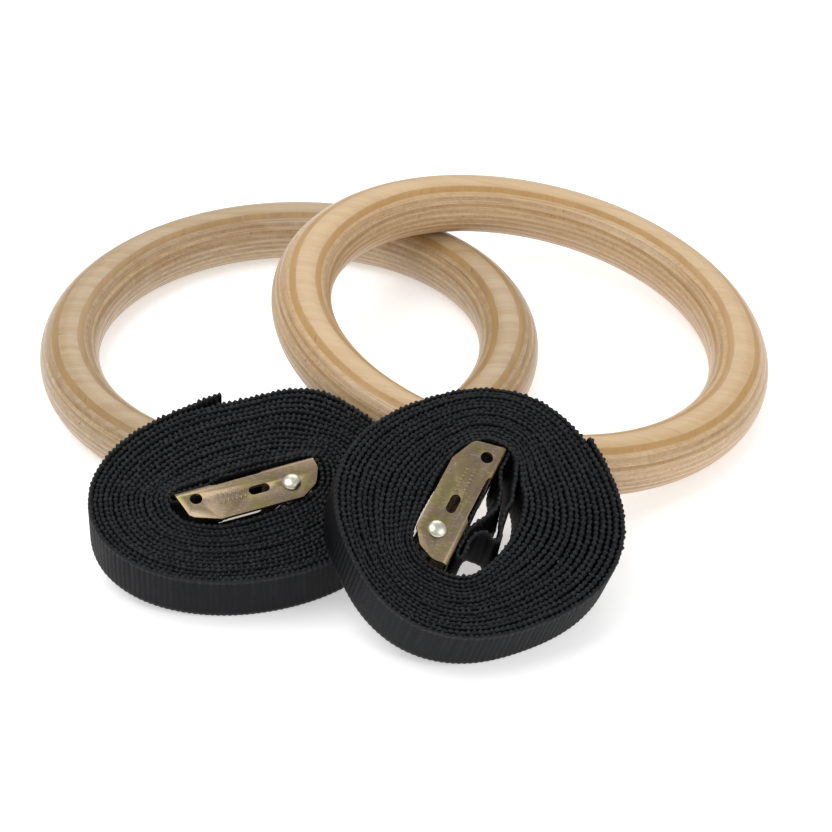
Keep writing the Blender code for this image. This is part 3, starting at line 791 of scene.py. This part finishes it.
def turned_piece(name, profile, steps=48):
    """A profile of (radius, height) spun about Z, its ends on the axis."""
    cage = bmesh.new()
    rings = []
    for radius, height in profile:
        if radius < 1e-6:
            rings.append([cage.verts.new((0, 0, height))])
        else:
            rings.append([cage.verts.new((radius * math.cos(math.tau * k / steps),
                                          radius * math.sin(math.tau * k / steps), height))
                          for k in range(steps)])
    for low, high in zip(rings, rings[1:]):
        for k in range(steps):
            k2 = (k + 1) % steps
            corners = [low[k % len(low)], low[k2 % len(low)], high[k2 % len(high)], high[k % len(high)]]
            cage.faces.new(list(dict.fromkeys(corners)))
    bmesh.ops.recalc_face_normals(cage, faces=cage.faces)
    data = bpy.data.meshes.new(name)
    cage.to_mesh(data)
    cage.free()
    return new_object(name, data)


def make_pin(strap, look):
    """The cam pin: a rivet with a domed head at each end."""
    seat = CHEEK_TOP + 0.05
    head = [(0.0, seat + HEAD_HEIGHT)]
    head += [(HEAD_RADIUS * math.sin(math.radians(a)),
              seat + 0.3 + (HEAD_HEIGHT - 0.3) * math.cos(math.radians(a)))
             for a in range(8, 90, 9)]
    head += [(HEAD_RADIUS, seat + 0.1), (HEAD_RADIUS - 0.2, seat), (PIN_RADIUS, seat)]
    pin = turned_piece(f"{strap.side}_domed_rivet", head + [(r, -z) for r, z in head[::-1]])
    pin.data.shade_smooth()
    pin.data.set_sharp_from_angle(angle=math.radians(50))
    matrix = strap.buckle_frame() @ Matrix.Translation((*PIVOT, 0))
    finish_piece(pin, matrix, look, f"{strap.side}_strap", "white_zinc_steel", f"{strap.side}_cam_pin")


def make_spring(strap, look):
    """The torsion spring round the pin, with one leg on the frame and one under the lever."""
    px, py = PIVOT
    steps = 32
    rise = SPRING_TURNS * (SPRING_WIRE + 0.35)
    coil = []
    for i in range(SPRING_TURNS * steps + 1):
        angle = math.radians(150) + math.tau * i / steps
        coil.append((px + SPRING_RADIUS * math.cos(angle), py + SPRING_RADIUS * math.sin(angle),
                     -rise / 2 + rise * i / (SPRING_TURNS * steps)))
    legs = ([(px - 9.8, py + 6.6, -rise / 2), (px - 6.5, py + 3.6, -rise / 2)],
            [(px - 4.6, py - 1.0, rise / 2), (px - 8.6, py - 3.2, rise / 2)])
    spring = wire(f"{strap.side}_torsion_spring", legs[0] + coil + legs[1], SPRING_WIRE / 2)
    spring.data.shade_smooth()
    finish_piece(spring, strap.buckle_frame(), look, f"{strap.side}_strap", "spring_steel",
                 f"{strap.side}_cam_spring")


def make_stitching(strap, look):
    """A box of single stitches with a cross in it, through the sewn loop's three layers."""
    face = BASE_Y + 2 * (GAP + STRAP_THICKNESS) + 0.35
    start, end, edge = 14.5, 27.5, 11.0
    runs = [((start, edge), (end, edge)), ((end, edge), (end, -edge)), ((end, -edge), (start, -edge)),
            ((start, -edge), (start, edge)), ((start, edge), (end, -edge)), ((start, -edge), (end, edge))]
    cage = bmesh.new()
    for (x0, z0), (x1, z1) in runs:
        length = math.hypot(x1 - x0, z1 - z0)
        count = round(length / 2.6)
        turn = Matrix.Rotation(-math.atan2(z1 - z0, x1 - x0), 4, "Y")
        for k in range(count):
            share = (k + 0.5) / count
            spot = Matrix.Translation((x0 + (x1 - x0) * share, face, z0 + (z1 - z0) * share))
            made = bmesh.ops.create_uvsphere(cage, u_segments=10, v_segments=8, radius=1.0)
            stretch = Matrix.Diagonal((1.15, 0.32, 0.34, 1.0))
            bmesh.ops.transform(cage, matrix=spot @ turn @ stretch, verts=made["verts"])
    data = bpy.data.meshes.new("stitches")
    cage.to_mesh(data)
    cage.free()
    seam = new_object(f"{strap.side}_stitches", data)
    seam.data.shade_smooth()
    finish_piece(seam, strap.buckle_frame(), look, f"{strap.side}_strap", "black_thread",
                 f"{strap.side}_loop_stitching")


def make_strap(strap, looks):
    side = strap.side
    strip, length = webbing(f"{side}_webbing", strap_route(strap))
    finish_piece(strip, strap.frame(), looks["webbing"], f"{side}_strap", "black_webbing",
                 f"{side}_strap_coil", f"{side}_strap_tail", f"{side}_strap_loop")
    print(f"{side} strap: {length / 1000:.2f} m of webbing")
    make_stitching(strap, looks["thread"])
    make_frame(strap, looks["yellow_zinc"])
    make_lever(strap, looks["white_zinc"])
    make_pin(strap, looks["rivet"])
    make_spring(strap, looks["spring"])


# --- the studio -------------------------------------------------------------------------------


def make_studio():
    """A white floor, a white room and three soft lights."""
    bpy.ops.mesh.primitive_plane_add(size=30)
    floor = bpy.context.object
    floor.name = "floor"
    floor.data.materials.append(floor_look())

    world = bpy.data.worlds.new("studio")
    bpy.context.scene.world = world
    world.use_nodes = True
    world.node_tree.nodes["Background"].inputs["Color"].default_value = (1, 1, 1, 1)
    world.node_tree.nodes["Background"].inputs["Strength"].default_value = 0.62
    for name, place, size, power in (("key", (-0.7, -0.3, 1.6), 1.2, 14),
                                     ("fill", (1.3, -0.9, 1.1), 1.3, 8),
                                     ("back", (0.2, 1.4, 1.3), 1.4, 9)):
        data = bpy.data.lights.new(name, "AREA")
        data.size = size
        data.energy = power
        lamp = new_object(name, data)
        lamp.location = place
        lamp.rotation_euler = (Vector((0, 0, 0.03)) - lamp.location).to_track_quat("-Z", "Y").to_euler()


def make_camera():
    data = bpy.data.cameras.new("camera")
    data.sensor_width = 36.0
    data.lens = CAMERA_LENS
    data.clip_start, data.clip_end = 0.05, 60.0
    camera = new_object("camera", data)
    tilt = Matrix.Rotation(math.radians(90 - CAMERA_ELEVATION), 4, "X")
    roll = Matrix.Rotation(math.radians(CAMERA_ROLL), 4, "Z")
    camera.matrix_world = Matrix.Translation(CAMERA_PLACE) @ tilt @ roll
    bpy.context.scene.camera = camera
    bpy.context.scene.view_settings.view_transform = "Standard"


make_camera()
make_studio()
make_rings()
shared_looks = {
    "webbing": webbing_look("black_ribbed_webbing"),
    "thread": thread_look("black_thread_look"),
    "yellow_zinc": plated("yellow_zinc_plate",
                          ((0.24, 0.20, 0.09), (0.25, 0.19, 0.11), (0.24, 0.175, 0.125),
                           (0.22, 0.185, 0.08)),
                          0.22, 70.0),
    "white_zinc": plated("white_zinc_plate", ((0.66, 0.67, 0.69), (0.74, 0.74, 0.75)), 0.30, 90.0),
    "rivet": plated("bright_rivet_zinc", ((0.58, 0.56, 0.46), (0.66, 0.64, 0.56)), 0.20, 120.0),
    "spring": plated("drawn_spring_steel", ((0.42, 0.42, 0.44), (0.52, 0.52, 0.54)), 0.32, 200.0),
}
for each_strap in STRAPS:
    make_strap(each_strap, shared_looks)
